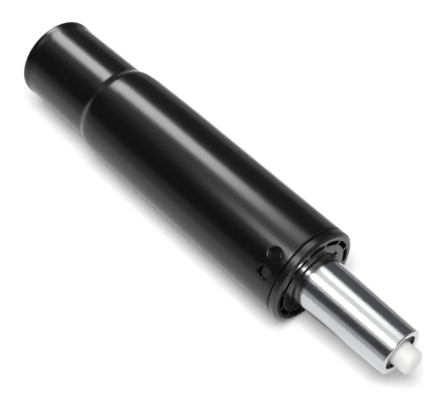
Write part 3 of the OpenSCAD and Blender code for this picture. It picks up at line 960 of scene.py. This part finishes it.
@dataclass
class ReleaseEnd:
    """The end plug inside the rim and the white button in it."""

    guide: float = 6.85
    plug_radius: float = 11.95
    plug_low: float = 250.4
    plug_high: float = 263.4
    ledge: float = 257.4
    ledge_bore: float = 8.25
    collar: float = 8.45
    collar_height: float = 1.2
    collar_round: float = 0.25
    button_radius: float = 6.55
    button_round: float = 3.0
    button_low: float = 254.8
    button_top: float = 275.0
    button_flange: float = 7.95
    button_flange_height: float = 2.2
    pin_seat: float = 2.5
    pin_depth: float = 7.0
    button_steps: int = 192

    def plug_outline(self) -> list[Point]:
        """The section of the end plug.

        Returns:
            The closed outline.
        """
        top = self.plug_high + self.collar_height
        soft = self.collar_round
        made = [(self.ledge_bore, self.plug_low), (self.plug_radius, self.plug_low), (self.plug_radius, self.plug_high)]
        made += [(self.collar, self.plug_high)]
        made += arc((self.collar - soft, top - soft), soft, 0, 90, steps=5)
        made += arc((self.guide + soft, top - soft), soft, 90, 180, steps=5)
        made += [(self.guide, self.ledge), (self.ledge_bore, self.ledge)]
        return held(made)

    def button_outline(self) -> list[Point]:
        """The section of the button, with the valve pin's seat.

        Returns:
            The closed outline.
        """
        low, bend = self.button_low, self.button_round
        shelf = low + self.button_flange_height
        seat = low + self.pin_depth
        made = [(0.0, seat), (self.pin_seat, seat), (self.pin_seat, low), (self.button_flange, low)]
        made += [(self.button_flange, shelf), (self.button_radius, shelf)]
        made += arc((self.button_radius - bend, self.button_top - bend), bend, 0, 90, steps=18)
        made += [(0.0, self.button_top)]
        return held(made)

    def build(self, shop: Workshop) -> None:
        """Builds and places both pieces.

        Args:
            shop: Where the pieces are dressed and placed.
        """
        shop.place(turned("end_ring", self.plug_outline()), "cylinder", "plug_plastic", "end_plug")
        button = turned("white_button", self.button_outline(), self.button_steps)
        shop.place(button, "button", "button_plastic", "release_button")


@dataclass
class ThrustBearing:
    """The balls of the thrust bearing."""

    ball: float = 2.0
    ring: float = 8.7
    height: float = 18.98
    count: int = 10
    ball_steps: int = 40

    def build(self, shop: Workshop) -> None:
        """Builds one ball, repeats it round the track and places the set.

        Args:
            shop: Where the balls are repeated, dressed and placed.
        """
        outline = arc((0.0, 0.0), self.ball, -90, 90, steps=24)
        outline[0], outline[-1] = (0.0, -self.ball), (0.0, self.ball)
        piece = turned("ball_set", outline, self.ball_steps)
        piece.data.transform(Matrix.Translation((self.ring * MM, 0, self.height * MM)))
        shop.ring.run(piece, Material=shop.materials["bearing_steel"], Count=self.count)
        shop.place(piece, "cage", "bearing_steel", "bearing_balls")


class InnerPieces:
    """The nodes that keep their shapes, which are inside the lift, and get a finish."""

    def build(self, shop: Workshop) -> None:
        """Gives each node that no piece replaces the finish of its slot.

        Args:
            shop: Holds the finishes and the names of the replaced nodes.
        """
        for row in frame["record"]["subparts"]:
            if row["node"] in shop.replaced:
                continue
            mesh = frame["nodes"][row["node"]].data
            mesh.materials.clear()
            mesh.materials.append(shop.materials[row["material_slot"]])
            LOG.info("%s: %s", row["node"], row["material_slot"])


@dataclass
class SoftBox:
    """A rectangular lamp that faces the lift."""

    name: str
    azimuth: float
    distance: float
    height: float
    width: float
    length: float
    radiance: float
    shows: Shows = Shows.REFLECTIONS
    aim: float = 0.12

    def build(self) -> None:
        """Makes the lamp, which the camera doesn't see."""
        lamp = bpy.data.lights.new(self.name, "AREA")
        lamp.shape = "RECTANGLE"
        lamp.size, lamp.size_y = self.width, self.length
        lamp.energy = self.radiance * pi * self.width * self.length
        made = bpy.data.objects.new(self.name, lamp)
        made.location = heading(self.azimuth) * self.distance + UP * self.height
        way = UP * self.aim - made.location
        made.rotation_euler = way.to_track_quat("-Z", "Y").to_euler()
        made.visible_camera = False
        made.visible_diffuse = self.shows is Shows.SHADING
        made.visible_glossy = self.shows is Shows.REFLECTIONS
        bpy.context.scene.collection.objects.link(made)
        LOG.info("%s: %.2f W", self.name, lamp.energy)


@dataclass
class Card:
    """A grey studio card that only reflections show."""

    name: str
    level: float

    BLUE_SHARE = 1.03

    def rows(self) -> list[list[Vector]]:
        """Rows of points of the card's sheet in metres."""
        raise NotImplementedError

    def build(self) -> None:
        """Makes the sheet, which glows at the card's level."""
        rows = self.rows()
        wide = len(rows[0])
        numbers = [list(range(first, first + wide)) for first in range(0, wide * len(rows), wide)]
        faces = [face for low, high in zip(numbers, numbers[1:]) for face in strip(low, high)]
        made = object_of(self.name, [point / MM for row in rows for point in row], faces)
        paper = bpy.data.materials.new(self.name)
        paper.use_nodes = True
        graph = Graph(paper.node_tree)
        colour = (self.level, self.level, self.level * self.BLUE_SHARE, 1.0)
        glow = graph.add("ShaderNodeEmission", {"Color": colour, "Strength": 1.0})
        graph.add("ShaderNodeOutputMaterial", {"Surface": glow})
        paper.cycles.emission_sampling = "NONE"
        made.data.materials.append(paper)
        made.visible_camera = made.visible_diffuse = made.visible_shadow = False
        made.visible_transmission = made.visible_volume_scatter = False


@dataclass
class BentCard(Card):
    """A card bent round the lift's axis."""

    azimuths: Point
    profile: tuple[Point, ...]
    spans: int = 12

    def rows(self) -> list[list[Vector]]:
        """Places the card round the axis.

        Returns:
            Rows along the card, one for each step of its bend.
        """
        first, last = self.azimuths
        ways = [heading(first + (last - first) * step / self.spans) for step in range(self.spans + 1)]
        return [[way * far + UP * height for far, height in self.profile] for way in ways]


@dataclass
class TableCard(Card):
    """A flat card that lies on the table to one side of the lift, as painted shade: in reflections it makes that part
    of the table darker than its lamps do.
    """

    reach: Point
    heights: Point
    lift: float = 0.0265

    def rows(self) -> list[list[Vector]]:
        """Places the card just in front of the table.

        Returns:
            The two edges of the card that run along the lift.
        """
        normal = heading(TABLE_AZIMUTH)
        side = normal.cross(UP)
        return [[side * far - normal * self.lift + UP * height for height in self.heights] for far in self.reach]


WHOLE_SIDE = ((0.01, 1.4), (1.15, 1.4), (1.15, -1.6), (0.01, -1.6))


@dataclass
class Studio:
    """Table, lamps, cards, world and camera, set for the picture's side."""

    table_reach: float = 2.5
    table_colour: float = 0.95
    table_glow: float = 0.12
    # Painted shadow on the table beside the bush, under the chrome tube: a soft dark spot that only reflected rays see,
    # where the table is darker than its lamps make it.
    painted_shadow_at: Point = (-0.002, 0.218)
    painted_shadow_reach: Point = (0.009, 0.024)
    painted_shadow_level: float = 0.1
    ambient: float = 0.2
    camera_at: tuple[float, float, float] = (0.4904, -0.1679, 0.4113)
    camera_aim: tuple[float, float, float] = (-0.0133, 0.0045, 0.1345)
    camera_clip: Point = (0.01, 50.0)
    focal_px: float = 1122.57
    image_width: float = 446.0
    sensor: float = 36.0
    # Azimuth, distance, height, width, length and radiance of each lamp.
    lamps: tuple[SoftBox, ...] = (
        SoftBox("key_box", -66.0, 0.95, -0.59, 0.42, 0.53, 11.8),
        SoftBox("tail_box", -66.0, 0.97, -0.145, 0.3, 0.36, 0.9, aim=-0.145),
        SoftBox("fill_box", -23.5, 1.0, 0.2, 0.24, 0.95, 7.5, aim=0.2),
        SoftBox("crown_box", -20.0, 0.98, 0.6, 0.2, 0.44, 17.0, aim=0.2),
        SoftBox("top_box", -31.5, 2.4, 0.6, 1.15, 1.3, 11.9, Shows.SHADING),
    )
    # Level, azimuths and profile of the bent cards, then level, reach to the side and heights of those on the table.
    cards: tuple[Card, ...] = (
        BentCard("near_card", 0.06, (-14.0, 33.0), WHOLE_SIDE),
        BentCard("dim_card", 0.2, (33.0, 38.0), WHOLE_SIDE),
        BentCard("side_card", 0.45, (38.0, 43.0), WHOLE_SIDE),
        BentCard("edge_card", 0.8, (-16.0, 0.0), ((1.1, 0.675), (1.1, -0.3))),
        BentCard("zenith_card", 0.03, (-180.0, 180.0), ((0.01, 1.2), (1.1, 1.2))),
        BentCard("upper_card", 0.5, (-137.0, -14.0), ((0.01, 1.41), (1.16, 1.41), (1.16, 0.7))),
        BentCard("low_card", 0.13, (-28.0, -14.0), ((1.16, -0.32), (1.16, -1.6), (0.01, -1.6))),
        BentCard("mid_card", 0.5, (-81.0, -28.0), ((1.16, -0.5), (1.16, -1.6), (0.01, -1.6))),
        BentCard("far_card", 0.11, (-137.0, -82.0), ((1.15, 0.7), (1.15, -1.6), (0.01, -1.6))),
        # Painted shade of the table: these cards darken its far parts in reflections only.
        TableCard("right_table", 0.4, (0.09, 1.0), (-0.7, 0.9)),
        TableCard("left_table", 0.45, (-1.2, -0.22), (-1.0, 0.9)),
        TableCard("left_strip", 0.7, (-0.22, -0.12), (-1.0, 0.9)),
    )

    def table(self, touch: float) -> None:
        """Makes the pale table, see-through from behind and with a soft painted shadow beside the bush that only
        reflections show.

        Args:
            touch: Distance of the table from the lift's axis in metres.
        """
        normal = heading(TABLE_AZIMUTH)
        side = normal.cross(UP)
        middle = normal * -touch
        across, along = side * self.table_reach, UP * self.table_reach
        corners = [middle + across * a + along * b for a, b in ((-1, -1), (1, -1), (1, 1), (-1, 1))]
        made = object_of("table", [c / MM for c in corners], [(0, 1, 2, 3)])
        if made.data.polygons[0].normal.dot(normal) < 0:
            made.data.flip_normals()
        paper = bpy.data.materials.new("table_paper")
        paper.use_nodes = True
        graph = Graph(paper.node_tree)
        path = graph.add("ShaderNodeLightPath").outputs
        place = graph.add("ShaderNodeTexCoord").outputs["Object"]
        # Painted shadow: round this point the table's colour and glow are darkened for reflected rays only.
        spot = middle + side * self.painted_shadow_at[0] + UP * self.painted_shadow_at[1]
        away = graph.add("ShaderNodeVectorMath", {0: place, 1: spot}, operation="DISTANCE").outputs["Value"]
        painted_shadow = graph.remap(away, self.painted_shadow_reach, (1.0 - self.painted_shadow_level, 0.0), "SMOOTHSTEP")
        share = graph.math("SUBTRACT", 1.0, graph.math("MULTIPLY", painted_shadow, path["Is Glossy Ray"]))
        plain = graph.add("ShaderNodeBsdfDiffuse", {"Color": graph.math("MULTIPLY", share, self.table_colour)})
        shine = graph.math("MULTIPLY", graph.math("MULTIPLY", graph.seen(path), share), self.table_glow)
        glow = graph.add("ShaderNodeEmission", {"Strength": shine})
        lit = graph.add("ShaderNodeAddShader", {0: plain, 1: glow})
        clear = graph.add("ShaderNodeBsdfTransparent")
        behind = graph.add("ShaderNodeNewGeometry").outputs["Backfacing"]
        both = graph.add("ShaderNodeMixShader", {0: behind, 1: lit, 2: clear})
        graph.add("ShaderNodeOutputMaterial", {"Surface": both})
        paper.cycles.emission_sampling = "NONE"
        made.data.materials.append(paper)

    def world(self) -> None:
        """Makes a world that is white where it is seen and dim where it only lights."""
        made = bpy.data.worlds.new("studio")
        bpy.context.scene.world = made
        made.use_nodes = True
        graph = Graph(made.node_tree)
        seen = graph.seen(graph.add("ShaderNodeLightPath").outputs)
        strength = graph.remap(seen, (0.0, 1.0), (self.ambient, 1.0))
        sky = graph.add("ShaderNodeBackground", {"Color": (1.0, 1.0, 1.0, 1.0), "Strength": strength})
        graph.add("ShaderNodeOutputWorld", {"Surface": sky})

    def camera(self) -> None:
        """Makes the camera at the picture's viewing angle."""
        lens = bpy.data.cameras.new("picture")
        lens.sensor_fit = "HORIZONTAL"
        lens.sensor_width = self.sensor
        lens.lens = self.focal_px * self.sensor / self.image_width
        lens.clip_start, lens.clip_end = self.camera_clip
        made = bpy.data.objects.new("picture", lens)
        place = Vector(self.camera_at)
        back = (place - Vector(self.camera_aim)).normalized()
        right = heading(TABLE_AZIMUTH).cross(back).normalized()
        up = back.cross(right)
        made.matrix_world = Matrix.Translation(place) @ Matrix((right, up, back)).transposed().to_4x4()
        bpy.context.scene.collection.objects.link(made)
        bpy.context.scene.camera = made

    def build(self, touch: float) -> None:
        """Builds the whole studio.

        Args:
            touch: Distance of the table from the lift's axis in metres.
        """
        bpy.context.scene.view_settings.view_transform = "Standard"
        self.table(touch)
        self.world()
        for item in self.lamps + self.cards:
            item.build()
        self.camera()


def main() -> None:
    """Builds the lift's sub-assemblies and the studio in order."""
    logging.basicConfig(level=logging.INFO, format="%(name)s %(message)s")
    effects = Effects()
    shop = Workshop({finish.slot: finish.material(effects) for finish in FINISHES})
    column = Column()
    for assembly in (column, GuideBush(column), PressureTube(), ReleaseEnd(), ThrustBearing(), InnerPieces()):
        assembly.build(shop)
    Studio().build(column.radius * MM)


if __name__ == "__main__":
    main()
